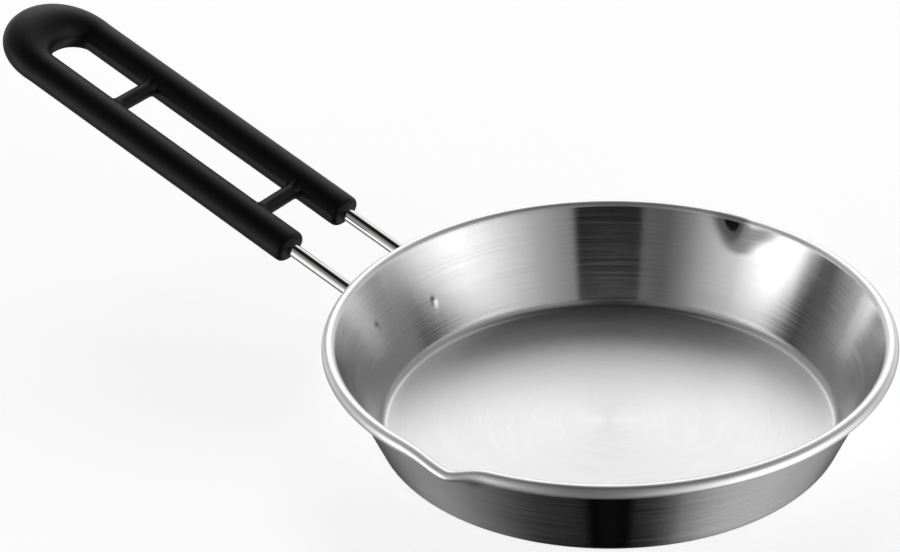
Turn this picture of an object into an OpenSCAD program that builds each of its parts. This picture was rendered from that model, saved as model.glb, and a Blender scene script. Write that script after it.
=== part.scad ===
// Small frying pan: a pressed stainless steel pan with a curled rim and two pour lips,
// on a handle of round steel rod with a black moulded loop grip.
// The origin is the centre of the underside, +Z is up and the handle points along -X.

/* [Pan] */
// Width across the outside of the rim
rim_d = 200; // [180:1:260]
// Height from the table to the top of the rim
pan_h = 37; // [33:0.5:60]
// Width at which the line of the outer wall meets the table
base_d = 162; // [140:1:170]
// Thickness of the steel sheet
sheet = 1; // [0.6:0.1:1.4]
// Inside radius of the corner between floor and wall
corner_r = 4.2; // [2:0.1:9]
// Diameter of the rolled edge of the rim
curl_d = 4.8; // [3.8:0.1:6]
// How far the rolled edge goes on past its outermost point, in degrees
curl_end = 125; // [60:5:130]

/* [Pour lips] */
// How far the line through both lips is turned from square to the handle, in degrees
lip_turn = 2.1; // [-20:0.1:20]
// Angle of rim that bends into the easy side of a lip, and half the angle cut away for a lip
lip_half_angle = 14.5; // [8:0.5:24]
// Angle of rim that bends into the steep side of a lip, counterclockwise of its tip from above
lip_steep_angle = 8.5; // [6:0.5:14]
// How far the tip of a lip stands out from the round rim
lip_out = 3; // [0:0.1:4]
// How far the tip of a lip dips below the round rim
lip_dip = 2; // [0:0.1:4]
// How far the lip's crease runs down from the top of the rim
lip_depth = 12; // [9:0.5:20]

/* [Handle rod] */
// Diameter of the round steel rod
rod_d = 5; // [4:0.1:6]
// Distance between the two legs of the rod, centre to centre
leg_spacing = 32.6; // [30:0.1:38]
// Climb of the handle above level, in degrees
handle_rise = 19.9; // [12:0.1:26]
// Centreline radius of the bend that turns each leg down along the wall
bend_r = 8; // [5:0.5:10]
// Height of the lower end of each leg
rod_end_z = 10.5; // [9:0.5:13]

/* [Welds] */
// How deep each leg is pressed flat where it is welded to the wall
weld_set = 0.8; // [0.3:0.1:1.2]
// How much the pressed foot of a leg spreads beyond the rod's radius
foot_swell = 0.4; // [0.2:0.1:0.8]
// Length over which a leg swells into its foot
foot_taper = 1.6; // [1:0.1:3]
// Height of the weld mark behind the near leg
near_weld_z = 21; // [14:0.1:22]
// Height of the weld mark behind the far leg
far_weld_z = 15.7; // [14:0.1:22]
// How far both weld marks sit to the near side of their leg's centreline
weld_shift = 2.2; // [0:0.1:3]
// Width of a weld mark
weld_mark_d = 3; // [1:0.1:4]
// Depth of a weld mark
weld_mark_depth = 0.25; // [0.1:0.05:0.4]

/* [Grip] */
// Distance from the middle of the pan to the front end of the grip
grip_start = 127.3; // [120:0.5:150]
// Height of the grip's centreline at its front end
grip_start_z = 39.1; // [37:0.1:46]
// Length of the straight legs of the grip
grip_leg = 126; // [110:1:180]
// Width of a leg of the grip
leg_w = 14.3; // [10:0.1:17]
// Height of a leg of the grip
leg_h = 11.6; // [9:0.1:15]
// Width of the grip at the far end of the loop
loop_w = 21.5; // [15:0.1:25]
// Height of the grip at the far end of the loop
loop_h = 15.9; // [12:0.1:20]
// Rounding of the grip's front ends
end_round = 2.4; // [0.5:0.1:3.5]

/* [Cross bars] */
// Diameter of the two black bars between the legs of the grip
bar_d = 6; // [4.5:0.1:8]
// Distance from the front end of the grip to the front bar
front_bar = 21.2; // [15:0.1:30]
// Distance from the front end of the grip to the rear bar
rear_bar = 93.7; // [60:0.1:105]
// How much a bar's radius grows where it runs into a leg
bar_flare = 1.3; // [0.2:0.1:2]
// Length over which a bar widens, half of it inside the leg
bar_flare_length = 4; // [2:0.1:6]
// Diameter of the thin steel rod inside each bar
core_d = 3; // [2:0.1:4]

/* [Hidden] */
$fn = 96;

// Steps of the rounded stretches
rim_steps = 180;
arc_steps = 16;
corner_steps = 8;
lip_steps = 28;
lip_wall_steps = 6;
loop_steps = 28;
section_steps = 32;
round_steps = 4;

// Overrun of the cutting shapes, and lap of pieces that join into one
over = 1;

// A bent lip reaches this far into the round sheet beside it, and is this much thinner there
lip_lap = 0.6;
lip_inset = 0.1;

// Powers that set how a lip's bend rounds off at its tip, runs out along the rim
// and runs out down the wall
lip_tip_power = 1.5;
lip_side_power = 2.75;
lip_fall_power = 1.5;

// Powers that set how the grip's loop swells, and how a bar widens into a leg
loop_power = 1.25;
bar_flare_power = 2;

// Rim: the sheet's outer face rolls on fold_r and its inner face on curl_r round curl_centre
curl_r = curl_d / 2;
fold_r = curl_r - sheet;
curl_centre = [rim_d / 2 - curl_r, pan_h - curl_r];

// Wall: its outer face runs from base_d, on the table, to touch the fold circle
wall_run = [curl_centre.x - base_d / 2, curl_centre.y];
wall_lean = atan2(wall_run.x, wall_run.y) - asin(fold_r / norm(wall_run));

// Corner: one centre for the inside radius and the outside radius
corner_out_r = corner_r + sheet;
corner_centre = [
    base_d / 2 - corner_out_r * (1 - sin(wall_lean)) / cos(wall_lean),
    corner_out_r
];

// Angle on the curl at which the straight wall ends
curl_start = 180 - wall_lean;

// Radius of the outer and the inner face of the wall at a height
function wall_out(z) = base_d / 2 + z * tan(wall_lean);
function wall_in(z) = wall_out(z) - sheet / cos(wall_lean);

// Points along an arc of a circle
function arc(centre, r, from, to, steps) =
    [for (i = [0 : steps]) let (a = from + (to - from) * i / steps)
        centre + r * [cos(a), sin(a)]];

// Points along a straight line, without its last point
function line(from, to, steps) =
    [for (i = [0 : steps - 1]) from + (to - from) * i / steps];

// Sheet of the rolled edge: the fold going out, then the curl coming back.
// Both faces and the end can be set back by an inset.
function rolled_edge(inset) =
    let (end = -curl_end + 2 * atan(inset / curl_r))
    concat(
        arc(curl_centre, fold_r + inset, curl_start, end, arc_steps),
        arc(curl_centre, curl_r - inset, end, curl_start, arc_steps)
    );

// Section through the whole sheet, from the axis out along the underside and back inside
function sheet_section() = concat(
    [[0, 0]],
    arc(corner_centre, corner_out_r, -90, -wall_lean, corner_steps),
    rolled_edge(0),
    arc(corner_centre, corner_r, -wall_lean, -90, corner_steps),
    [[0, sheet]]
);

// Pour lips: the rim and the top of the wall are cut away above a height,
// and a piece that is bent out and down fills the gap
lip_foot_z = pan_h - lip_depth;
lip_low_z = lip_foot_z - lip_lap;
lip_bend_z = lip_foot_z + lip_lap;
wall_top_z = curl_centre.y + fold_r * sin(curl_start);

// Section through the bent piece, set back by an inset at its foot
// and by a second one everywhere else
function lip_section(inset) =
    let (
        foot_inset = lip_inset / cos(wall_lean),
        wall_inset = inset / cos(wall_lean),
        roll = rolled_edge(inset),
        outside = [wall_out(lip_bend_z) - wall_inset, lip_bend_z],
        inside = [wall_in(lip_bend_z) + wall_inset, lip_bend_z],
        climb = line(inside, roll[len(roll) - 1], lip_wall_steps)
    )
    concat(
        [[wall_out(lip_low_z) - foot_inset, lip_low_z]],
        line(outside, roll[0], lip_wall_steps),
        roll,
        [for (i = [lip_wall_steps - 1 : -1 : 0]) climb[i]],
        [[wall_in(lip_low_z) + foot_inset, lip_low_z]]
    );

// Places across a lip, where -1 and 1 are the edges of the gap
lip_lap_share = atan(lip_lap / (rim_d / 2)) / lip_half_angle;
lip_bend_share = 1 - lip_lap_share;
lip_steep_share = lip_steep_angle / lip_half_angle;
lip_places = concat(
    [-1 - lip_lap_share],
    [for (i = [0 : lip_steps]) lip_bend_share * (2 * i / lip_steps - 1)],
    [1 + lip_lap_share]
);

// Share of the full bend at a height, and at a place across the lip
function lip_height_share(z) =
    pow(min(1, max(0, (z - lip_bend_z) / (wall_top_z - lip_bend_z))), lip_fall_power);
function lip_width_share(across) =
    let (end_share = across > 0 ? min(lip_steep_share, lip_bend_share) : lip_bend_share)
    pow(1 - pow(min(1, abs(across) / end_share), lip_tip_power), lip_side_power);

// One point of the section, bent and turned to its place round the rim
function lip_point(p, across, at_angle) =
    let (
        bend = lip_height_share(p.y) * lip_width_share(across),
        r = p.x + lip_out * bend
    )
    [r * cos(at_angle), r * sin(at_angle), p.y - lip_dip * bend];

// Faces of a tube whose rings all have the same even number of points.
// Each end is closed by strips that run across from one half of its ring to the other.
function tube_faces(rings, sides) = concat(
    [for (i = [0 : rings - 2]) for (j = [0 : sides - 1]) let (k = (j + 1) % sides)
        each [
            [i * sides + j, (i + 1) * sides + k, (i + 1) * sides + j],
            [i * sides + j, i * sides + k, (i + 1) * sides + k]
        ]],
    [for (j = [0 : sides / 2 - 2])
        [sides - 1 - j, sides - 2 - j, j + 1, j]],
    [for (j = [0 : sides / 2 - 2]) let (first = (rings - 1) * sides)
        [first + j, first + j + 1, first + sides - 2 - j, first + sides - 1 - j]]
);

// Directions of the lips, counted from +X
lip_angles = [lip_turn - 90, lip_turn + 90];

// Bent piece of rim and wall that forms one pour lip
module lip_patch(at_angle) {
    sides = len(lip_section(0));
    points = [for (across = lip_places) for (p = lip_section(abs(across) > 1 ? lip_inset : 0))
        lip_point(p, across, at_angle + across * lip_half_angle)];
    polyhedron(points, tube_faces(len(lip_places), sides), convexity = 6);
}

// Sector of the round rim that makes room for a lip
module lip_window(at_angle) {
    reach = rim_d;
    rotate([0, 0, at_angle])
        translate([0, 0, lip_foot_z])
            linear_extrude(height = lip_depth + over)
                polygon([
                    [0, 0],
                    reach * [cos(lip_half_angle), -sin(lip_half_angle)],
                    reach * [cos(lip_half_angle), sin(lip_half_angle)]
                ]);
}

// Handle: local X runs out along the handle, Y across it and Z square to it,
// from the middle of the grip's front end
module on_handle() {
    mirror([1, 0, 0])
        translate([grip_start, 0, grip_start_z])
            rotate([0, -handle_rise, 0])
                children();
}

// Where the wall's outer face passes a leg of the rod, measured from the pan's middle
rod_r = rod_d / 2;
leg_side = leg_spacing / 2;
function wall_at_leg(z) = sqrt(pow(wall_out(z), 2) - pow(leg_side, 2));
leg_run_z = [rod_end_z, lip_foot_z];
leg_lean = atan2(wall_at_leg(leg_run_z[1]) - wall_at_leg(leg_run_z[0]), leg_run_z[1] - leg_run_z[0]);

// Corner point where a leg's sloping line meets its line down the wall
down_line_out = rod_r - weld_set;
down_line_point = [wall_at_leg(rod_end_z), rod_end_z]
    + down_line_out * [cos(leg_lean), -sin(leg_lean)];
grip_front = [grip_start, grip_start_z];
rod_turn = 90 - handle_rise - leg_lean;
to_corner = (grip_front - down_line_point) * [cos(leg_lean), -sin(leg_lean)]
    / cos(handle_rise + leg_lean);
corner_z = grip_start_z - to_corner * sin(handle_rise);
bend_cut = bend_r * tan(rod_turn / 2);
slope_length = to_corner - bend_cut;
down_length = (corner_z - rod_end_z) / cos(leg_lean) - bend_cut;

// Foot of a leg, running down from the end of the bend and swollen where it is pressed
foot_r = rod_r + foot_swell;
module rod_foot() {
    rotate_extrude()
        polygon([
            [0, -foot_taper],
            [rod_r - foot_swell, -foot_taper],
            [foot_r, 0],
            [foot_r, down_length],
            [0, down_length]
        ]);
}

// Lower part of one leg: the slope from the grip, the bend and the foot
module rod_lower_leg() {
    translate([-slope_length, 0, 0])
        rotate([0, 90, 0])
            cylinder(h = slope_length + over, r = rod_r);
    translate([-slope_length, 0, -bend_r])
        rotate([90, 0, 0])
            rotate([0, 0, 90])
                rotate_extrude(angle = rod_turn)
                    translate([bend_r, 0])
                        circle(r = rod_r);
    translate([-slope_length - bend_r * sin(rod_turn), 0, -bend_r * (1 - cos(rod_turn))])
        rotate([0, -90 - rod_turn, 0])
            rod_foot();
}

// Upper part of the rod: both straight legs inside the grip, and the loop that joins them
module rod_loop() {
    translate([grip_leg, 0, 0]) {
        for (side = [-1, 1])
            translate([0, side * leg_side, 0])
                rotate([0, -90, 0])
                    cylinder(h = grip_leg + over, r = rod_r);
        rotate([0, 0, -90])
            rotate_extrude(angle = 180)
                translate([leg_side, 0])
                    circle(r = rod_r);
    }
}

// Whole rod, before its feet are pressed against the wall
module rod_shape() {
    union() {
        rod_loop();
        for (side = [-1, 1])
            translate([0, side * leg_side, 0])
                rod_lower_leg();
    }
}

// Solid inside the wall's outer face
module wall_cone() {
    cylinder(h = pan_h, r1 = wall_out(0), r2 = wall_out(pan_h), $fn = rim_steps);
}

// Mark that a spot weld leaves on the inside of the wall
module weld_mark(side, z) {
    mark_r = (pow(weld_mark_d / 2, 2) + pow(weld_mark_depth, 2)) / (2 * weld_mark_depth);
    from_face = mark_r - weld_mark_depth;
    across = side * leg_side - weld_shift;
    rotate([0, 0, 180 - asin(across / wall_in(z))])
        translate([wall_in(z) - from_face * cos(wall_lean), 0, z + from_face * sin(wall_lean)])
            sphere(r = mark_r);
}

// Pressed steel pan
module pan_body() {
    color("silver")
        union() {
            difference() {
                rotate_extrude($fn = rim_steps)
                    polygon(sheet_section());
                for (a = lip_angles) lip_window(a);
                weld_mark(-1, near_weld_z);
                weld_mark(1, far_weld_z);
            }
            for (a = lip_angles) lip_patch(a);
        }
}

// Round steel rod, bent into a loop and welded to the wall at both ends
module handle_rod() {
    color("gainsboro")
        difference() {
            on_handle() rod_shape();
            wall_cone();
        }
}

// Thin steel rod across the handle, inside a black bar
module cross_core(along) {
    translate([along, 0, 0])
        rotate([90, 0, 0])
            cylinder(h = leg_spacing, r = core_d / 2, center = true);
}

module cross_rod(along) {
    color("darkgray")
        on_handle()
            difference() {
                cross_core(along);
                rod_loop();
            }
}

// Half outline of a bar, from where it starts to widen to the middle of a leg
function bar_half() =
    let (flare_start = leg_side - leg_w / 2 - bar_flare_length / 2)
    concat(
        [for (i = [0 : round_steps]) let (share = i / round_steps)
            [bar_d / 2 + bar_flare * pow(share, bar_flare_power), flare_start + bar_flare_length * share]],
        [[bar_d / 2 + bar_flare, leg_side]]
    );

// Black bar between the legs of the grip, wider where it runs into them
module cross_bar(along) {
    half = bar_half();
    outline = concat(
        [[0, -leg_side]],
        [for (i = [len(half) - 1 : -1 : 0]) [half[i].x, -half[i].y]],
        half,
        [[0, leg_side]]
    );
    translate([along, 0, 0])
        rotate([90, 0, 0])
            rotate_extrude()
                polygon(outline);
}

// Ring of the grip's skin: an oval across the path at centre, facing along heading
function grip_ring(centre, heading, w, h) =
    [for (j = [0 : section_steps - 1]) let (a = 360 * j / section_steps)
        [
            centre.x + cos(a) * w / 2 * sin(heading),
            centre.y - cos(a) * w / 2 * cos(heading),
            sin(a) * h / 2
        ]];

// Rings of a rounded front end of a leg, from its face inwards
function end_rings(side) =
    [for (i = [0 : round_steps - 1]) let (a = 90 * i / round_steps, inset = end_round * (1 - sin(a)))
        grip_ring(
            [end_round * (1 - cos(a)), side * leg_side],
            side < 0 ? 0 : 180,
            leg_w - 2 * inset,
            leg_h - 2 * inset
        )];

// Rings round the loop, which swells towards its far end
function loop_rings() =
    [for (i = [0 : loop_steps]) let (t = 180 * i / loop_steps, swell = pow(sin(t), loop_power))
        grip_ring(
            [grip_leg + leg_side * sin(t), -leg_side * cos(t)],
            t,
            leg_w + (loop_w - leg_w) * swell,
            leg_h + (loop_h - leg_h) * swell
        )];

// Outer skin of the grip, from one front end round the loop to the other
module grip_skin() {
    back = end_rings(1);
    rings = concat(
        end_rings(-1),
        [grip_ring([end_round, -leg_side], 0, leg_w, leg_h)],
        loop_rings(),
        [grip_ring([end_round, leg_side], 180, leg_w, leg_h)],
        [for (i = [round_steps - 1 : -1 : 0]) back[i]]
    );
    points = [for (ring = rings) each ring];
    polyhedron(points, tube_faces(len(rings), section_steps), convexity = 6);
}

// Black grip, moulded over the rod and the two thin cross rods
module handle_grip() {
    color("#1c1c1e")
        on_handle()
            difference() {
                union() {
                    grip_skin();
                    cross_bar(front_bar);
                    cross_bar(rear_bar);
                }
                rod_loop();
                cross_core(front_bar);
                cross_core(rear_bar);
            }
}

pan_body();
handle_rod();
cross_rod(front_bar);  // front_cross_rod
cross_rod(rear_bar);  // rear_cross_rod
handle_grip();
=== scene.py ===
"""A small stainless steel frying pan with a black moulded loop grip, dressed for a studio picture.

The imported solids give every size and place. The pan, the rod and the grip are modelled again with finer
faces, and each stands for its own solid. The two hidden cross rods keep their solids.
"""

import logging
import math
from collections.abc import Callable
from dataclasses import dataclass, field
from enum import Enum

import bpy
from mathutils import Matrix, Vector


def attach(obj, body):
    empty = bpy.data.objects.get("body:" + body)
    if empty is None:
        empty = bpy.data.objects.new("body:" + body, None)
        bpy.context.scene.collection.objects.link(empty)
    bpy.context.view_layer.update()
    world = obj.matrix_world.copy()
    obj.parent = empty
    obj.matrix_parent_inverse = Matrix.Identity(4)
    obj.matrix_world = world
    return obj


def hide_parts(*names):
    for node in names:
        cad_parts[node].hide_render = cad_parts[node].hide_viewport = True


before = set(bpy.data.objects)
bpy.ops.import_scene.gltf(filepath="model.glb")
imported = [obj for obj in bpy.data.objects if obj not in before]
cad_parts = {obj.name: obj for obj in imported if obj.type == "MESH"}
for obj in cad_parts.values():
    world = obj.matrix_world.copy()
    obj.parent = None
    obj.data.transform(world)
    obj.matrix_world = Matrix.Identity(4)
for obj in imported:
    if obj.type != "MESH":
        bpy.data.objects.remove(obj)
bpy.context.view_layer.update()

log = logging.getLogger("frying_pan")

MM = 0.001
ROOT = "root"
FULL_TURN = 2 * math.pi
HALF_TURN = math.pi
QUARTER_TURN = math.pi / 2
MERGE_DISTANCE = 0.001 * MM
PICK_MARGIN = 0.1 * MM
SMOOTH_ANGLE = math.radians(40)

# The curve of the sRGB standard
LARGEST_BYTE = 255
SRGB_TOE_END = 0.04045
SRGB_TOE_SLOPE = 12.92
SRGB_OFFSET = 0.055
SRGB_POWER = 2.4

# Nearly all of a noise texture's values lie between these two
NOISE_LOW = 0.3
NOISE_HIGH = 0.7

SocketValue = float | tuple[float, ...] | bpy.types.NodeSocket


class Direction(Enum):
    """A direction of the part's frame."""

    ACROSS = (0.0, 1.0, 0.0)
    UP = (0.0, 0.0, 1.0)
    DOWN = (0.0, 0.0, -1.0)


def linear_colour(hex_code: str) -> tuple[float, float, float, float]:
    """Turns an sRGB hex colour to the linear colour that a shader reads.

    Args:
        hex_code: Six hex digits, with or without a leading hash.

    Returns:
        Linear red, green and blue, and an alpha of 1.
    """
    digits = hex_code.lstrip("#")
    shares = [int(digits[i:i + 2], 16) / LARGEST_BYTE for i in (0, 2, 4)]
    red, green, blue = (
        share / SRGB_TOE_SLOPE if share <= SRGB_TOE_END
        else ((share + SRGB_OFFSET) / (1 + SRGB_OFFSET)) ** SRGB_POWER
        for share in shares)
    return red, green, blue, 1.0


def add_node(
    tree: bpy.types.NodeTree,
    kind: str,
    inputs: dict[str | int, SocketValue] | None = None,
    **settings: object,
) -> bpy.types.Node:
    """Adds a node with its settings, its socket values and its links.

    Args:
        tree: The node tree that gets the node.
        kind: The node's type name, without the word ShaderNode.
        inputs: A value, or an output socket to link, for each named or numbered input.
        **settings: The node's own properties.

    Returns:
        The new node.
    """
    node = tree.nodes.new("ShaderNode" + kind)
    for key, value in settings.items():
        setattr(node, key, value)
    for key, value in (inputs or {}).items():
        if isinstance(value, bpy.types.NodeSocket):
            tree.links.new(value, node.inputs[key])
        else:
            node.inputs[key].default_value = value
    return node


def new_material(name: str) -> tuple[bpy.types.Material, bpy.types.NodeTree]:
    """Makes an empty node material.

    Args:
        name: The material's name.

    Returns:
        The material and its node tree.
    """
    material = bpy.data.materials.new(name)
    material.use_nodes = True
    material.node_tree.nodes.clear()
    return material, material.node_tree


def finish_material(tree: bpy.types.NodeTree, shader: bpy.types.Node) -> None:
    """Joins a shader to the material's output."""
    add_node(tree, "OutputMaterial", {"Surface": shader.outputs[0]})


# Modelling steps

def start_piece(name: str, add: Callable[[], object]) -> bpy.types.Object:
    """Adds a primitive, names it and opens it in edit mode with all of it selected.

    Args:
        name: The piece's name.
        add: Adds the primitive.

    Returns:
        The new object.
    """
    bpy.ops.object.select_all(action="DESELECT")
    add()
    piece = bpy.context.object
    piece.name = name
    piece.data.name = name
    bpy.ops.object.mode_set(mode="EDIT")
    bpy.ops.mesh.select_all(action="SELECT")
    return piece


def draw_outline(name: str, points: list[Vector]) -> bpy.types.Object:
    """Draws an outline point by point, as a chain of extruded vertices.

    Args:
        name: The piece's name.
        points: The outline's points in order.

    Returns:
        The object, in edit mode.
    """
    piece = start_piece(name, lambda: bpy.ops.mesh.primitive_circle_add(vertices=3, radius=MM))
    bpy.ops.mesh.merge(type="CENTER")
    bpy.ops.transform.translate(value=points[0])
    for here, there in zip(points, points[1:]):
        bpy.ops.mesh.extrude_vertices_move(TRANSFORM_OT_translate={"value": there - here})
    bpy.ops.mesh.select_all(action="SELECT")
    return piece


def turn_outline(steps: int, centre: Vector, axis: Direction) -> None:
    """Spins the selected outline once round an axis and closes the seam and the poles.

    Args:
        steps: How many steps the turn has.
        centre: A point on the axis.
        axis: The direction of the axis.
    """
    bpy.ops.mesh.spin(steps=steps, angle=FULL_TURN, center=centre, axis=axis.value)
    bpy.ops.mesh.select_all(action="SELECT")
    bpy.ops.mesh.remove_doubles(threshold=MERGE_DISTANCE)
    bpy.ops.mesh.select_all(action="SELECT")
    bpy.ops.mesh.normals_make_consistent(inside=False)


def select_vertices(piece: bpy.types.Object, test: Callable[[Vector], bool]) -> None:
    """Selects the vertices that pass a test, and the edges and faces between them.

    Args:
        piece: An object in edit mode.
        test: Tells from a vertex's place whether it is selected.
    """
    bpy.ops.mesh.select_mode(type="VERT")
    bpy.ops.mesh.select_all(action="DESELECT")
    bpy.ops.object.mode_set(mode="OBJECT")
    for vertex in piece.data.vertices:
        vertex.select = test(vertex.co)
    bpy.ops.object.mode_set(mode="EDIT")


def extrude_along(way: Vector, steps: int) -> None:
    """Extrudes the selected ring along a straight way in equal steps."""
    for _ in range(steps):
        bpy.ops.mesh.extrude_region_move(TRANSFORM_OT_translate={"value": way / steps})


def close_piece(piece: bpy.types.Object) -> None:
    """Turns every face outwards, leaves edit mode and smooths all but the sharp edges.

    Args:
        piece: An object in edit mode.
    """
    bpy.ops.mesh.select_all(action="SELECT")
    bpy.ops.mesh.remove_doubles(threshold=MERGE_DISTANCE)
    bpy.ops.mesh.select_all(action="SELECT")
    bpy.ops.mesh.normals_make_consistent(inside=False)
    bpy.ops.object.mode_set(mode="OBJECT")
    bpy.ops.object.select_all(action="DESELECT")
    piece.select_set(True)
    bpy.context.view_layer.objects.active = piece
    bpy.ops.object.shade_smooth_by_angle(angle=SMOOTH_ANGLE)


def arc_points(centre: Vector, radius: float, start: float, end: float, steps: int) -> list[Vector]:
    """Points along an arc in the plane of X and Z.

    Args:
        centre: The arc's centre.
        radius: The arc's radius.
        start: The first point's angle from +X towards +Z, in degrees.
        end: The last point's angle.
        steps: How many equal steps the arc has.

    Returns:
        The points, with both ends.
    """
    angles = [math.radians(start + (end - start) * i / steps) for i in range(steps + 1)]
    return [centre + radius * Vector((math.cos(a), 0, math.sin(a))) for a in angles]


def line_points(start: Vector, end: Vector, steps: int) -> list[Vector]:
    """Points along a straight line, without either end."""
    return [start.lerp(end, i / steps) for i in range(1, steps)]


# Finishes

@dataclass(frozen=True)
class BrushedSteel:
    """Stainless steel sheet, pressed, then brushed in rings round the pan's middle.

    The rings stretch each reflection up and down the wall and out from the middle of the floor, and
    show as faint lines round the wall. The pressing leaves the wall slightly wavy round the pan.
    """

    name: str = "brushed_stainless_steel"
    dark: str = "#DCDCDC"
    light: str = "#E6E6E6"
    roughness: float = 0.16
    roughness_spread: float = 0.03
    anisotropy: float = 1.0
    # A quarter of a turn from the shader's own tangent, so that the blur runs across the rings
    anisotropy_turn: float = 0.25
    # Real brush lines are about 0.05 mm apart. These are drawn coarser, so that they show.
    line_width: float = 0.8 * MM
    line_length: float = 45 * MM
    line_depth: float = 0.0024 * MM
    line_strength: float = 0.6
    line_detail: float = 3.0
    line_unevenness: float = 0.6
    wave_length: float = 9 * MM
    wave_depth: float = 0.04 * MM
    wave_detail: float = 1.0
    turning_radius: float = 90 * MM

    def material(self) -> bpy.types.Material:
        """Builds the material.

        Returns:
            The material, ready to be given to a piece.
        """
        material, tree = new_material(self.name)
        place = add_node(tree, "TexCoord").outputs["Object"]
        parts = add_node(tree, "SeparateXYZ", {0: place})
        flat = add_node(tree, "CombineXYZ", {"X": parts.outputs["X"], "Y": parts.outputs["Y"]})
        radius = add_node(tree, "VectorMath", {0: flat.outputs[0]}, operation="LENGTH")
        heading = add_node(tree, "VectorMath", {0: flat.outputs[0]}, operation="NORMALIZE")
        along = add_node(
            tree, "Math", {0: radius.outputs["Value"], 1: parts.outputs["Z"]}, operation="ADD")
        rings = add_node(tree, "Math", {0: along.outputs[0], 1: 1 / self.line_width}, operation="MULTIPLY")
        stretch = self.turning_radius / self.line_length
        turned = add_node(
            tree, "VectorMath", {0: heading.outputs[0], "Scale": stretch}, operation="SCALE")
        turned = add_node(tree, "SeparateXYZ", {0: turned.outputs[0]})
        track = add_node(
            tree, "CombineXYZ",
            {"X": rings.outputs[0], "Y": turned.outputs["X"], "Z": turned.outputs["Y"]})
        lines = add_node(
            tree, "TexNoise",
            {"Vector": track.outputs[0], "Scale": 1.0, "Detail": self.line_detail,
             "Roughness": self.line_unevenness})
        rough = add_node(
            tree, "MapRange",
            {"Value": lines.outputs["Fac"], "From Min": NOISE_LOW, "From Max": NOISE_HIGH,
             "To Min": self.roughness - self.roughness_spread,
             "To Max": self.roughness + self.roughness_spread})
        tone = add_node(
            tree, "MapRange", {"Value": lines.outputs["Fac"], "From Min": NOISE_LOW, "From Max": NOISE_HIGH})
        colour = add_node(
            tree, "Mix",
            {0: tone.outputs["Result"], 6: linear_colour(self.dark), 7: linear_colour(self.light)},
            data_type="RGBA")
        swell = self.turning_radius / self.wave_length
        waves = add_node(
            tree, "TexNoise", {"Vector": heading.outputs[0], "Scale": swell, "Detail": self.wave_detail})
        wavy = add_node(
            tree, "Bump", {"Height": waves.outputs["Fac"], "Distance": self.wave_depth, "Strength": 1.0})
        bump = add_node(
            tree, "Bump",
            {"Height": lines.outputs["Fac"], "Distance": self.line_depth,
             "Strength": self.line_strength, "Normal": wavy.outputs[0]})
        shader = add_node(
            tree, "BsdfPrincipled",
            {"Base Color": colour.outputs[2], "Metallic": 1.0,
             "Roughness": rough.outputs["Result"], "Anisotropic": self.anisotropy,
             "Anisotropic Rotation": self.anisotropy_turn, "Normal": bump.outputs[0]})
        finish_material(tree, shader)
        return material


@dataclass(frozen=True)
class PolishedSteel:
    """Stainless steel rod, ground and buffed to a near mirror that shows the studio in thin lines."""

    name: str = "polished_stainless_steel"
    colour: str = "#E6E5E3"
    roughness: float = 0.12
    roughness_spread: float = 0.04
    grain: float = 0.4 * MM
    grain_detail: float = 2.0

    def material(self) -> bpy.types.Material:
        """Builds the material.

        Returns:
            The material, ready to be given to a piece.
        """
        material, tree = new_material(self.name)
        place = add_node(tree, "TexCoord").outputs["Object"]
        grain = add_node(
            tree, "TexNoise", {"Vector": place, "Scale": 1 / self.grain, "Detail": self.grain_detail})
        rough = add_node(
            tree, "MapRange",
            {"Value": grain.outputs["Fac"], "To Min": self.roughness - self.roughness_spread,
             "To Max": self.roughness + self.roughness_spread})
        shader = add_node(
            tree, "BsdfPrincipled",
            {"Base Color": linear_colour(self.colour), "Metallic": 1.0,
             "Roughness": rough.outputs["Result"]})
        finish_material(tree, shader)
        return material


@dataclass(frozen=True)
class SatinPhenolic:
    """Black phenolic, moulded in a lightly blasted tool, which gives broad soft highlights."""

    name: str = "moulded_black_phenolic"
    colour: str = "#060607"
    roughness: float = 0.45
    roughness_spread: float = 0.05
    gloss: float = 0.25
    grain: float = 0.35 * MM
    grain_detail: float = 2.0
    grain_depth: float = 0.01 * MM
    grain_strength: float = 0.5

    def material(self) -> bpy.types.Material:
        """Builds the material.

        Returns:
            The material, ready to be given to a piece.
        """
        material, tree = new_material(self.name)
        place = add_node(tree, "TexCoord").outputs["Object"]
        grain = add_node(
            tree, "TexNoise", {"Vector": place, "Scale": 1 / self.grain, "Detail": self.grain_detail})
        rough = add_node(
            tree, "MapRange",
            {"Value": grain.outputs["Fac"], "To Min": self.roughness - self.roughness_spread,
             "To Max": self.roughness + self.roughness_spread})
        bump = add_node(
            tree, "Bump",
            {"Height": grain.outputs["Fac"], "Distance": self.grain_depth,
             "Strength": self.grain_strength})
        shader = add_node(
            tree, "BsdfPrincipled",
            {"Base Color": linear_colour(self.colour), "Roughness": rough.outputs["Result"],
             "Specular IOR Level": self.gloss, "Normal": bump.outputs[0]})
        finish_material(tree, shader)
        return material


@dataclass(frozen=True)
class PaleFloor:
    """Matt pale acrylic board, lit from below, which gives the pan an even, nearly white ground."""

    name: str = "pale_backlit_board"
    colour: str = "#F4F4F4"
    roughness: float = 0.9
    glow: float = 0.72

    def material(self) -> bpy.types.Material:
        """Builds the material.

        Returns:
            The material, ready to be given to a piece.
        """
        material, tree = new_material(self.name)
        shader = add_node(
            tree, "BsdfPrincipled",
            {"Base Color": linear_colour(self.colour), "Roughness": self.roughness,
             "Specular IOR Level": 0.0, "Emission Color": linear_colour(self.colour),
             "Emission Strength": self.glow})
        finish_material(tree, shader)
        return material


# Pieces

class PanZone(Enum):
    """A stretch of the pan's sheet, with the number of its material."""

    WALL = 0
    RIM = 1
    FLOOR = 2
    CORNER = 3


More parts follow.
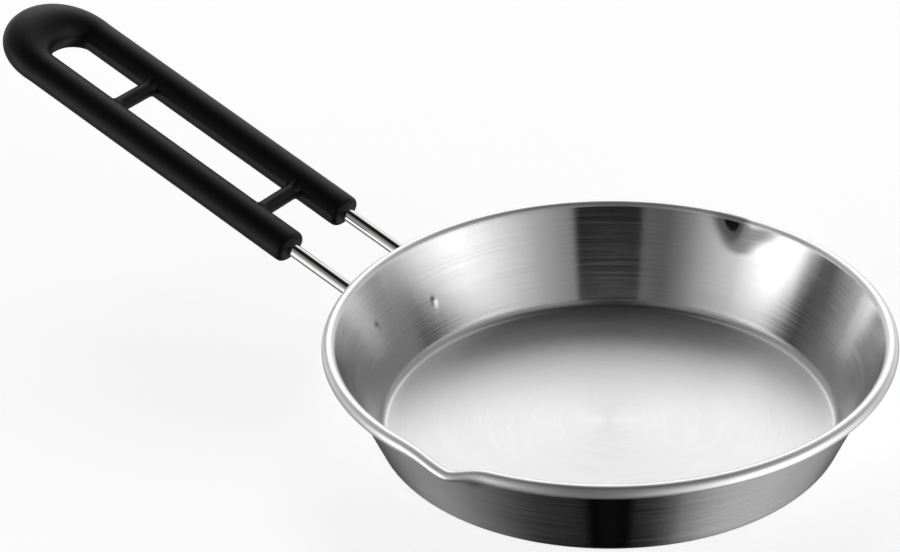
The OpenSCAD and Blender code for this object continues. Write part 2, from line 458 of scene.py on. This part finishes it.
@dataclass
class PressedPan:
    """The pan: one pressed sheet with a rolled rim and two pour lips.

    Headings are in degrees from +X, counterclockwise from above.
    """

    rim_radius: float = 100 * MM
    height: float = 37 * MM
    base_radius: float = 81 * MM
    sheet: float = 1 * MM
    corner_radius: float = 4.2 * MM
    curl_radius: float = 2.4 * MM
    # How many degrees past its outermost point the rolled edge goes on underneath
    curl_end: float = 125
    lip_headings: tuple[float, float] = (-87.9, 92.1)
    # How many degrees of the rim a lip reaches, clockwise and then counterclockwise
    lip_easy_side: float = 14.5
    lip_steep_side: float = 8.5
    lip_out: float = 3 * MM
    lip_dip: float = 2 * MM
    lip_depth: float = 12 * MM
    # Powers that shape the bend at its tip, along the rim and down the wall
    lip_point: float = 1.5
    lip_spread: float = 2.75
    lip_fade: float = 1.2
    # Share of its width that a lip keeps at its foot
    lip_foot_width: float = 0.5
    turn_steps: int = 360
    floor_steps: int = 6
    corner_steps: int = 10
    outer_wall_steps: int = 16
    inner_wall_steps: int = 24
    fold_steps: int = 28
    curl_steps: int = 36
    weld_mark_headings: tuple[float, float] = (-167.1, 171.2)
    weld_mark_heights: tuple[float, float] = (21 * MM, 15.7 * MM)
    # Half the width and half the height of a weld mark
    weld_mark_size: tuple[float, float] = (1 * MM, 1.8 * MM)
    weld_mark_depth: float = 0.25 * MM
    weld_mark_cuts: int = 7
    # Places nearer to the wall's inner face than this belong to it
    skin: float = 0.2 * MM
    # Radius and depth of each ring that the lathe left in the middle of the floor
    centre_mark: tuple[tuple[float, float], ...] = (
        (3.4 * MM, 0), (3.1 * MM, 0.02 * MM), (2.8 * MM, 0), (1.2 * MM, 0), (0.8 * MM, 0.05 * MM))
    centre_depth: float = 0.08 * MM
    # Brushed in rings, so that the wall shows the tent in long upright streaks
    wall_finish: BrushedSteel = field(default_factory=lambda: BrushedSteel(name="brushed_steel_wall"))
    # Buffed after rolling, which gives it a rougher finish, and coloured lighter than the wall's steel. The
    # lighter colour is a painted highlight that makes the rim the brightest line of the pan
    rim_finish_with_painted_highlight: BrushedSteel = field(default_factory=lambda: BrushedSteel(
        name="buffed_steel_rim_painted_highlight", roughness=0.42, anisotropy=0.0, dark="#F4F4F4", light="#FCFCFC"))
    # Brushed finely and flat, so that the floor shows one wide soft glow
    floor_finish: BrushedSteel = field(default_factory=lambda: BrushedSteel(
        name="brushed_steel_floor", roughness=0.42, anisotropy=0.2, line_depth=0.0015 * MM,
        wave_depth=0))
    # Brushed less deeply than the wall, so that the corner keeps a soft light line
    corner_finish: BrushedSteel = field(default_factory=lambda: BrushedSteel(
        name="brushed_steel_corner", roughness=0.32, anisotropy=0.5, wave_depth=0))
    # Faces this near to the rolled edge belong to the rim
    rim_margin: float = 0.02 * MM
    # Faces whose normals point up more than this are level, or belong to the corner
    level_normal: float = 0.97
    corner_normal: float = 0.45

    @property
    def fold_radius(self) -> float:
        """Radius of the sheet's outer face inside the rolled rim."""
        return self.curl_radius - self.sheet

    @property
    def curl_centre(self) -> Vector:
        """Centre of the rolled rim's section."""
        return Vector((self.rim_radius - self.curl_radius, 0, self.height - self.curl_radius))

    @property
    def lean(self) -> float:
        """Lean of the wall from upright, in radians."""
        run = self.curl_centre - Vector((self.base_radius, 0, 0))
        return math.atan2(run.x, run.z) - math.asin(self.fold_radius / run.length)

    @property
    def lip_foot(self) -> float:
        """Height at which a lip starts to bend out of the wall."""
        return self.height - self.lip_depth

    def wall_radius(self, z: float) -> float:
        """Radius of the wall's outer face at a height."""
        return self.base_radius + z * math.tan(self.lean)

    def inner_radius(self, z: float) -> float:
        """Radius of the wall's inner face at a height."""
        return self.wall_radius(z) - self.sheet / math.cos(self.lean)

    def section(self) -> list[Vector]:
        """Outline of the sheet's section, from the axis along the underside and back inside.

        Returns:
            The outline's points, in the plane of X and Z.
        """
        lean = math.degrees(self.lean)
        outer_corner = self.corner_radius + self.sheet
        corner = Vector((
            self.base_radius - outer_corner * (1 - math.sin(self.lean)) / math.cos(self.lean),
            0,
            outer_corner,
        ))
        top = 180 - lean
        under = arc_points(corner, outer_corner, -90, -lean, self.corner_steps)
        fold = arc_points(self.curl_centre, self.fold_radius, top, -self.curl_end, self.fold_steps)
        curl = arc_points(self.curl_centre, self.curl_radius, -self.curl_end, top, self.curl_steps)
        inside = arc_points(corner, self.corner_radius, -lean, -90, self.corner_steps)
        base_middle = Vector((0, 0, 0))
        mark = [Vector((radius, 0, self.sheet - depth)) for radius, depth in self.centre_mark]
        mark.append(Vector((0, 0, self.sheet - self.centre_depth)))
        return [
            base_middle, *line_points(base_middle, under[0], self.floor_steps),
            *under, *line_points(under[-1], fold[0], self.outer_wall_steps),
            *fold, *curl, *line_points(curl[-1], inside[0], self.inner_wall_steps),
            *inside, *line_points(inside[-1], mark[0], self.floor_steps), *mark,
        ]

    def bend_share(self, place: Vector, heading: float) -> float:
        """Share of a lip's full bend that a place on the sheet gets.

        Args:
            place: The place on the sheet before it is bent.
            heading: The lip's heading.

        Returns:
            1 at the lip's tip, and 0 out of its reach.
        """
        off = math.degrees(math.atan2(place.y, place.x)) - heading
        off = (off + 180) % 360 - 180
        top = self.curl_centre.z + self.fold_radius * math.sin(HALF_TURN - self.lean)
        up = min(1.0, max(0.0, (place.z - self.lip_foot) / (top - self.lip_foot)))
        reach = self.lip_steep_side if off > 0 else self.lip_easy_side
        reach *= self.lip_foot_width + (1 - self.lip_foot_width) * up
        across = max(0.0, 1 - (abs(off) / reach) ** self.lip_point) ** self.lip_spread
        return across * up ** self.lip_fade

    def zone(self, face: bpy.types.MeshPolygon) -> PanZone:
        """Tells which stretch of the sheet a face belongs to, before the lips are pressed.

        Args:
            face: A face of the round pan.

        Returns:
            The stretch that the face lies in.
        """
        out = math.hypot(face.center.x, face.center.y) - self.curl_centre.x
        from_curl = math.hypot(out, face.center.z - self.curl_centre.z)
        if from_curl < self.curl_radius + self.rim_margin:
            return PanZone.RIM
        if face.normal.z > self.level_normal and face.center.z < 2 * self.sheet:
            return PanZone.FLOOR
        if face.normal.z > self.corner_normal and face.center.z < self.sheet + self.corner_radius:
            return PanZone.CORNER
        return PanZone.WALL

    def share_finishes(self, piece: bpy.types.Object) -> None:
        """Gives each stretch of the sheet its own finish.

        Args:
            piece: The round pan, out of edit mode.
        """
        for finish in (self.wall_finish, self.rim_finish_with_painted_highlight, self.floor_finish, self.corner_finish):
            piece.data.materials.append(finish.material())
        for face in piece.data.polygons:
            face.material_index = self.zone(face).value

    def press_lips(self, piece: bpy.types.Object) -> None:
        """Bends the rim and the top of the wall out and down at each lip.

        Args:
            piece: The round pan, out of edit mode.
        """
        for vertex in piece.data.vertices:
            share = sum(self.bend_share(vertex.co, heading) for heading in self.lip_headings)
            if share > 0:
                outward = Vector((vertex.co.x, vertex.co.y, 0)).normalized()
                vertex.co += share * (self.lip_out * outward - self.lip_dip * Vector(Direction.UP.value))

    def is_on_mark(self, place: Vector, middle: Vector) -> bool:
        """Tells whether a place lies on the wall's inner face within reach of a weld mark.

        Args:
            place: A place on the pan.
            middle: The middle of the mark.

        Returns:
            Whether the mark's dent can move that place.
        """
        off_face = math.hypot(place.x, place.y) - self.inner_radius(place.z)
        reach = 2 * self.weld_mark_size[1]
        return abs(off_face) < self.skin and (place - middle).length < reach

    def dent(self, piece: bpy.types.Object, middle: Vector) -> None:
        """Presses one weld mark out of the wall's inner face.

        Args:
            piece: The pan, in edit mode.
            middle: The middle of the mark.
        """
        half_width, half_height = self.weld_mark_size
        select_vertices(piece, lambda place: self.is_on_mark(place, middle))
        bpy.ops.mesh.subdivide(number_cuts=self.weld_mark_cuts)
        bpy.ops.object.mode_set(mode="OBJECT")
        for vertex in piece.data.vertices:
            if self.is_on_mark(vertex.co, middle):
                rise = vertex.co.z - middle.z
                aside = (vertex.co - middle).to_2d().length
                off = math.hypot(aside / half_width, rise / half_height)
                depth = self.weld_mark_depth * math.exp(-off ** 2)
                outward = Vector((vertex.co.x, vertex.co.y, 0)).normalized()
                pressed = outward * (self.inner_radius(vertex.co.z) + depth)
                vertex.co = (pressed.x, pressed.y, vertex.co.z)
        bpy.ops.object.mode_set(mode="EDIT")

    def mark_welds(self, piece: bpy.types.Object) -> None:
        """Dents the inside of the wall where each end of the rod is welded on outside.

        Args:
            piece: The pan, in edit mode.
        """
        for heading, height in zip(self.weld_mark_headings, self.weld_mark_heights):
            angle = math.radians(heading)
            radius = self.inner_radius(height)
            self.dent(piece, Vector((radius * math.cos(angle), radius * math.sin(angle), height)))

    def build(self) -> bpy.types.Object:
        """Models the pan and gives it its finish.

        Returns:
            The pan, which stands for pan_body.
        """
        piece = draw_outline("pressed_pan", self.section())
        turn_outline(self.turn_steps, Vector((0, 0, 0)), Direction.UP)
        self.mark_welds(piece)
        close_piece(piece)
        self.share_finishes(piece)
        self.press_lips(piece)
        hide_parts("pan_body")
        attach(piece, ROOT)
        return piece


@dataclass
class HandleFrame:
    """Where the handle stands: local X runs out along it, from the middle of the grip's front end."""

    start: float = 127.3 * MM
    start_height: float = 39.1 * MM
    # Climb above level, in degrees
    rise: float = 19.9
    leg_side: float = 16.3 * MM
    leg_length: float = 126 * MM

    def place(self, piece: bpy.types.Object) -> None:
        """Moves a piece modelled in the handle's frame to its place on the pan, origin kept.

        Args:
            piece: The rod or the grip, out of edit mode.
        """
        about_face = Matrix.Rotation(HALF_TURN, 4, "Z")
        shift = Matrix.Translation((self.start, 0, self.start_height))
        tilt = Matrix.Rotation(-math.radians(self.rise), 4, "Y")
        piece.data.transform(about_face @ shift @ tilt)


@dataclass
class RodHandle:
    """The round steel rod: two legs welded to the wall and the loop hidden in the grip."""

    pan: PressedPan
    handle: HandleFrame
    radius: float = 2.5 * MM
    bend_radius: float = 8 * MM
    # Height of each leg's lower end, and how deep the leg is set into the wall there
    end_height: float = 10.5 * MM
    weld_set: float = 0.8 * MM
    round_steps: int = 40
    leg_steps: int = 12
    loop_steps: int = 32
    bend_steps: int = 12
    foot_steps: int = 10
    finish: PolishedSteel = field(default_factory=PolishedSteel)

    def wall_at_leg(self, z: float) -> float:
        """How far from the pan's middle the wall's outer face passes a leg, at a height."""
        return math.sqrt(self.pan.wall_radius(z) ** 2 - self.handle.leg_side ** 2)

    @property
    def foot_lean(self) -> float:
        """Lean of each leg from upright along the wall, in radians."""
        low, high = self.end_height, self.pan.lip_foot
        return math.atan2(self.wall_at_leg(high) - self.wall_at_leg(low), high - low)

    @property
    def bend_angle(self) -> float:
        """How far each leg bends from its slope to its way down the wall, in radians."""
        return QUARTER_TURN - math.radians(self.handle.rise) - self.foot_lean

    @property
    def bend_cut(self) -> float:
        """Length that the bend takes from each of the two straight stretches beside it."""
        return self.bend_radius * math.tan(self.bend_angle / 2)

    @property
    def corner_length(self) -> float:
        """Distance from the grip's front end, down the slope, to the line that runs down the wall.

        Returns:
            The distance along a leg, as if it had a sharp corner in place of its bend.
        """
        square = Vector((math.cos(self.foot_lean), 0, -math.sin(self.foot_lean)))
        end = Vector((self.wall_at_leg(self.end_height), 0, self.end_height))
        end += (self.radius - self.weld_set) * square
        grip = Vector((self.handle.start, 0, self.handle.start_height))
        return (grip - end).dot(square) / math.cos(math.radians(self.handle.rise) + self.foot_lean)

    @property
    def slope_length(self) -> float:
        """Length of each leg's straight slope from the grip to the bend."""
        return self.corner_length - self.bend_cut

    @property
    def down_length(self) -> float:
        """Length of each leg's straight way down the wall.

        Returns:
            The length below the bend.
        """
        drop = self.corner_length * math.sin(math.radians(self.handle.rise))
        corner_height = self.handle.start_height - drop
        return (corner_height - self.end_height) / math.cos(self.foot_lean) - self.bend_cut

    def build(self) -> bpy.types.Object:
        """Models the rod from one ring and gives it its finish.

        Returns:
            The rod, which stands for handle_rod.
        """
        side = self.handle.leg_side
        piece = start_piece("bent_rod", lambda: bpy.ops.mesh.primitive_circle_add(
            vertices=self.round_steps, radius=self.radius,
            location=(-self.slope_length, -side, 0), rotation=(0, QUARTER_TURN, 0)))
        bpy.ops.object.mode_set(mode="OBJECT")
        bpy.ops.object.transform_apply(location=True, rotation=True, scale=True)
        bpy.ops.object.mode_set(mode="EDIT")
        straight = Vector((self.slope_length + self.handle.leg_length, 0, 0))
        extrude_along(straight, self.leg_steps)
        loop_middle = Vector((self.handle.leg_length, 0, 0))
        bpy.ops.mesh.spin(
            steps=self.loop_steps, angle=HALF_TURN, center=loop_middle, axis=Direction.DOWN.value)
        extrude_along(-straight, self.leg_steps)
        select_vertices(piece, lambda place: place.x < -self.slope_length + PICK_MARGIN)
        bend_middle = Vector((-self.slope_length, 0, -self.bend_radius))
        bpy.ops.mesh.spin(
            steps=self.bend_steps, angle=self.bend_angle, center=bend_middle,
            axis=Direction.ACROSS.value)
        down = Vector((-math.cos(self.bend_angle), 0, -math.sin(self.bend_angle)))
        extrude_along(down * self.down_length, self.foot_steps)
        bpy.ops.mesh.edge_face_add()
        close_piece(piece)
        self.handle.place(piece)
        piece.data.materials.append(self.finish.material())
        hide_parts("handle_rod")
        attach(piece, ROOT)
        return piece


@dataclass
class MouldedGrip:
    """The black grip: two legs, the loop that joins them and two cross bars, moulded in one piece."""

    handle: HandleFrame
    leg_width: float = 14.3 * MM
    leg_height: float = 11.6 * MM
    loop_width: float = 21.5 * MM
    loop_height: float = 15.9 * MM
    end_round: float = 2.4 * MM
    bar_radius: float = 3 * MM
    bar_flare: float = 1.3 * MM
    bar_flare_length: float = 4 * MM
    # Powers that set how the loop swells, and how a bar widens into a leg
    loop_power: float = 1.25
    bar_flare_power: float = 2
    bar_places: tuple[float, float] = (21.2 * MM, 93.7 * MM)
    round_steps: int = 64
    leg_steps: int = 24
    loop_steps: int = 64
    end_steps: int = 6
    bar_steps: int = 48
    bar_flare_steps: int = 8
    finish: SatinPhenolic = field(default_factory=SatinPhenolic)

    def swell_loop(self, piece: bpy.types.Object) -> None:
        """Widens the loop towards its far end.

        Args:
            piece: The grip in the handle's frame, out of edit mode.
        """
        for vertex in piece.data.vertices:
            reach = vertex.co.x - self.handle.leg_length
            if reach <= 0:
                continue
            out = Vector((reach, vertex.co.y, 0))
            sine = out.normalized().x
            share = sine ** self.loop_power
            wide = 1 + (self.loop_width / self.leg_width - 1) * share
            tall = 1 + (self.loop_height / self.leg_height - 1) * share
            from_line = out.length - self.handle.leg_side
            moved = out.normalized() * (self.handle.leg_side + from_line * wide)
            vertex.co = (self.handle.leg_length + moved.x, moved.y, vertex.co.z * tall)

    def round_end(self, piece: bpy.types.Object, side: int) -> None:
        """Rounds and closes the front end of one leg.

        Args:
            piece: The grip, in edit mode.
            side: -1 for the leg at -Y, and 1 for the leg at +Y.
        """
        middle = Vector((0, side * self.handle.leg_side, 0))
        near = self.end_round + PICK_MARGIN
        select_vertices(piece, lambda place: place.x < near and place.y * side > 0)
        width, height = self.leg_width / 2, self.leg_height / 2
        x_before, inset_before = self.end_round, 0.0
        for i in range(1, self.end_steps + 1):
            angle = QUARTER_TURN * i / self.end_steps
            x_now = self.end_round * (1 - math.sin(angle))
            inset = self.end_round * (1 - math.cos(angle))
            shift = Vector((x_now - x_before, 0, 0))
            bpy.ops.mesh.extrude_region_move(TRANSFORM_OT_translate={"value": shift})
            narrow = (width - inset) / (width - inset_before)
            lower = (height - inset) / (height - inset_before)
            bpy.ops.transform.resize(
                value=(1, narrow, lower), center_override=middle + Vector((x_now, 0, 0)))
            x_before, inset_before = x_now, inset
        bpy.ops.mesh.edge_face_add()

    def legs_and_loop(self) -> bpy.types.Object:
        """Models both legs and the loop from one oval ring.

        Returns:
            The grip without its bars.
        """
        side = self.handle.leg_side
        piece = start_piece("moulded_grip", lambda: bpy.ops.mesh.primitive_circle_add(
            vertices=self.round_steps, radius=1, rotation=(0, QUARTER_TURN, 0)))
        bpy.ops.object.mode_set(mode="OBJECT")
        bpy.ops.object.transform_apply(location=True, rotation=True, scale=True)
        bpy.ops.object.mode_set(mode="EDIT")
        bpy.ops.transform.resize(value=(1, self.leg_width / 2, self.leg_height / 2))
        bpy.ops.transform.translate(value=(self.end_round, -side, 0))
        straight = Vector((self.handle.leg_length - self.end_round, 0, 0))
        extrude_along(straight, self.leg_steps)
        loop_middle = Vector((self.handle.leg_length, 0, 0))
        bpy.ops.mesh.spin(
            steps=self.loop_steps, angle=HALF_TURN, center=loop_middle, axis=Direction.DOWN.value)
        extrude_along(-straight, self.leg_steps)
        for leg in (-1, 1):
            self.round_end(piece, leg)
        close_piece(piece)
        self.swell_loop(piece)
        return piece

    def bar_outline(self, along: float) -> list[Vector]:
        """Outline of a bar across the handle, with its radius upwards.

        Args:
            along: How far along the handle the bar stands.

        Returns:
            The outline's points, from just inside one leg to just inside the other.
        """
        flare_start = self.handle.leg_side - self.leg_width / 2 - self.bar_flare_length / 2
        half = [(self.bar_radius, 0.0)]
        for i in range(self.bar_flare_steps + 1):
            share = i / self.bar_flare_steps
            half.append((
                self.bar_radius + self.bar_flare * share ** self.bar_flare_power,
                flare_start + self.bar_flare_length * share))
        half.append((0.0, half[-1][1]))
        other = [(radius, -place) for radius, place in reversed(half[1:])]
        return [Vector((along, place, radius)) for radius, place in other + half]

    def bar(self, along: float, name: str) -> bpy.types.Object:
        """Turns one cross bar from its outline.

        Args:
            along: How far along the handle the bar stands.
            name: The bar's name.

        Returns:
            The bar.
        """
        piece = draw_outline(name, self.bar_outline(along))
        turn_outline(self.bar_steps, Vector((along, 0, 0)), Direction.ACROSS)
        close_piece(piece)
        return piece

    def build(self) -> bpy.types.Object:
        """Models the grip and gives it its finish.

        Returns:
            The grip, which stands for handle_grip.
        """
        grip = self.legs_and_loop()
        bars = [self.bar(along, f"grip_bar_{number}") for number, along in enumerate(self.bar_places)]
        bpy.ops.object.select_all(action="DESELECT")
        for bar in bars:
            bar.select_set(True)
        grip.select_set(True)
        bpy.context.view_layer.objects.active = grip
        bpy.ops.object.join()
        self.handle.place(grip)
        grip.data.materials.append(self.finish.material())
        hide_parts("handle_grip")
        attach(grip, ROOT)
        return grip


# Studio

@dataclass(frozen=True)
class Panel:
    """A soft-edged panel of the light tent, as the pan sees it, with its angles in degrees.

    The heading and the half width are turned round the vertical, and low and high are above level.
    The edges fade over soft_turn at the sides, and over soft_lift at the top and the bottom.
    """

    name: str
    heading: float
    half_width: float
    low: float
    high: float
    level: float
    soft_turn: float
    soft_lift: float


# Limits past the end of each angle, where an edge never shows
ALL_ROUND = 200.0
LOWEST = -130.0
HIGHEST = 130.0


@dataclass(frozen=True)
class PhotoCamera:
    """The photograph's camera, fitted to the rim, the floor and the handle, with its angles in degrees."""

    name: str = "photo_camera"
    place: tuple[float, float, float] = (0.5052, -0.7642, 0.5718)
    heading: float = 126.879
    dip: float = 29.181
    roll: float = -1.913
    lens_mm: float = 121.97
    sensor_mm: float = 36
    clip_start: float = 0.01
    clip_end: float = 50

    def build(self) -> bpy.types.Object:
        """Stands the camera where the photograph was taken from.

        Returns:
            The camera.
        """
        data = bpy.data.cameras.new(self.name)
        data.lens = self.lens_mm
        data.sensor_width = self.sensor_mm
        data.clip_start = self.clip_start
        data.clip_end = self.clip_end
        camera = bpy.data.objects.new(self.name, data)
        aim = Matrix.Rotation(math.radians(self.heading) - QUARTER_TURN, 4, "Z")
        dip = Matrix.Rotation(QUARTER_TURN - math.radians(self.dip), 4, "X")
        roll = Matrix.Rotation(math.radians(self.roll), 4, "Z")
        camera.matrix_world = Matrix.Translation(self.place) @ aim @ dip @ roll
        bpy.context.collection.objects.link(camera)
        bpy.context.scene.camera = camera
        return camera


@dataclass
class Studio:
    """Pale floor, light tent and camera."""

    floor_size: float = 8.0
    base_level: float = 0.28
    # Each panel covers what stands before it in this list
    panels: tuple[Panel, ...] = (
        Panel("dark_ground", 0, ALL_ROUND, LOWEST, -63.5, 0.0, soft_turn=10, soft_lift=26),
        Panel("right_bounce", 48, 44, -73, -25, 0.42, soft_turn=24, soft_lift=20),
        Panel("backdrop_foot", 126, 27, -60, -18, 0.06, soft_turn=22, soft_lift=12),
        Panel("flag_surround", 289, 24, -40, HIGHEST, 0.12, soft_turn=30, soft_lift=30),
        Panel("right_softbox", 10.2, 25.7, -55, 20, 1.75, soft_turn=61, soft_lift=8),
        Panel("left_wing", 240, 15, -30, 22, 1.2, soft_turn=50, soft_lift=12),
        Panel("left_softbox", 225, 10.5, -30, 22, 2.4, soft_turn=24, soft_lift=12),
        Panel("back_sweep", 123.5, 60, -10, 22, 0.85, soft_turn=40, soft_lift=12),
        Panel("back_softbox", 122.5, 22, 22, 45, 2.1, soft_turn=30, soft_lift=8),
        Panel("dark_roof", 0, ALL_ROUND, 60, HIGHEST, 0.01, soft_turn=10, soft_lift=16),
        Panel("back_canopy", 123.5, 50, 44, 62, 0.6, soft_turn=40, soft_lift=10),
        Panel("camera_flag", 303.5, 14.6, LOWEST, 75, 0.005, soft_turn=3, soft_lift=20),
    )

    def light_tent(self) -> None:
        """Lights the scene from all round, with each panel laid over what is behind it."""
        world = bpy.data.worlds.new("light_tent")
        world.use_nodes = True
        tree = world.node_tree
        tree.nodes.clear()
        look = add_node(tree, "TexCoord").outputs["Generated"]
        parts = add_node(tree, "SeparateXYZ", {0: look})
        flat = add_node(tree, "CombineXYZ", {"X": parts.outputs["X"], "Y": parts.outputs["Y"]})
        heading = add_node(tree, "VectorMath", {0: flat.outputs[0]}, operation="NORMALIZE")
        lift = add_node(tree, "Math", {0: parts.outputs["Z"]}, operation="ARCSINE")
        level: SocketValue = self.base_level
        for panel in self.panels:
            angle = math.radians(panel.heading)
            towards = (math.cos(angle), math.sin(angle), 0)
            turn = add_node(tree, "VectorMath", {0: heading.outputs[0], 1: towards}, operation="DOT_PRODUCT")
            turn = add_node(tree, "Math", {0: turn.outputs["Value"]}, operation="ARCCOSINE")
            # The softness is negative at an edge that has the panel on its lower side
            edges = (
                (lift.outputs[0], panel.low, panel.soft_lift),
                (lift.outputs[0], panel.high, -panel.soft_lift),
                (turn.outputs[0], panel.half_width, -panel.soft_turn),
            )
            mask: SocketValue = 1.0
            for value, edge, soft in edges:
                share = add_node(
                    tree, "MapRange",
                    {"Value": value, "From Min": math.radians(edge - soft / 2),
                     "From Max": math.radians(edge + soft / 2)},
                    interpolation_type="SMOOTHSTEP")
                mask = add_node(
                    tree, "Math", {0: share.outputs[0], 1: mask}, operation="MULTIPLY").outputs[0]
            mix = add_node(tree, "Mix", {0: mask, 2: level, 3: panel.level}, label=panel.name)
            level = mix.outputs[0]
        sky = add_node(tree, "Background", {"Color": (1, 1, 1, 1), "Strength": level})
        add_node(tree, "OutputWorld", {"Surface": sky.outputs[0]})
        bpy.context.scene.world = world

    def floor(self) -> bpy.types.Object:
        """Lays the pale floor under the pan, where it neither lights the steel nor shows in it.

        Returns:
            The floor.
        """
        bpy.ops.object.select_all(action="DESELECT")
        bpy.ops.mesh.primitive_plane_add(size=self.floor_size, location=(0, 0, 0))
        floor = bpy.context.object
        floor.name = "studio_floor"
        floor.visible_diffuse = False
        floor.visible_glossy = False
        floor.visible_shadow = False
        floor.data.materials.append(PaleFloor().material())
        return floor

    def build(self) -> None:
        """Sets up the floor, the light and the camera."""
        self.floor()
        self.light_tent()
        PhotoCamera().build()
        bpy.context.scene.view_settings.view_transform = "Standard"


def dress_cross_rods() -> None:
    """Gives the two hidden cross rods the duller finish of plain drawn steel."""
    steel = PolishedSteel(name="drawn_steel", colour="#B8B8B8", roughness=0.3).material()
    for name in ("front_cross_rod", "rear_cross_rod"):
        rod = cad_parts[name]
        rod.data.materials.clear()
        rod.data.materials.append(steel)


def main() -> None:
    """Builds the pan, its handle and the studio."""
    logging.basicConfig(level=logging.INFO, format="%(name)s: %(message)s")
    pan = PressedPan()
    handle = HandleFrame()
    for assembly in (pan, RodHandle(pan, handle), MouldedGrip(handle)):
        piece = assembly.build()
        log.info("%s: %d faces", piece.name, len(piece.data.polygons))
    dress_cross_rods()
    Studio().build()


if __name__ == "__main__":
    main()
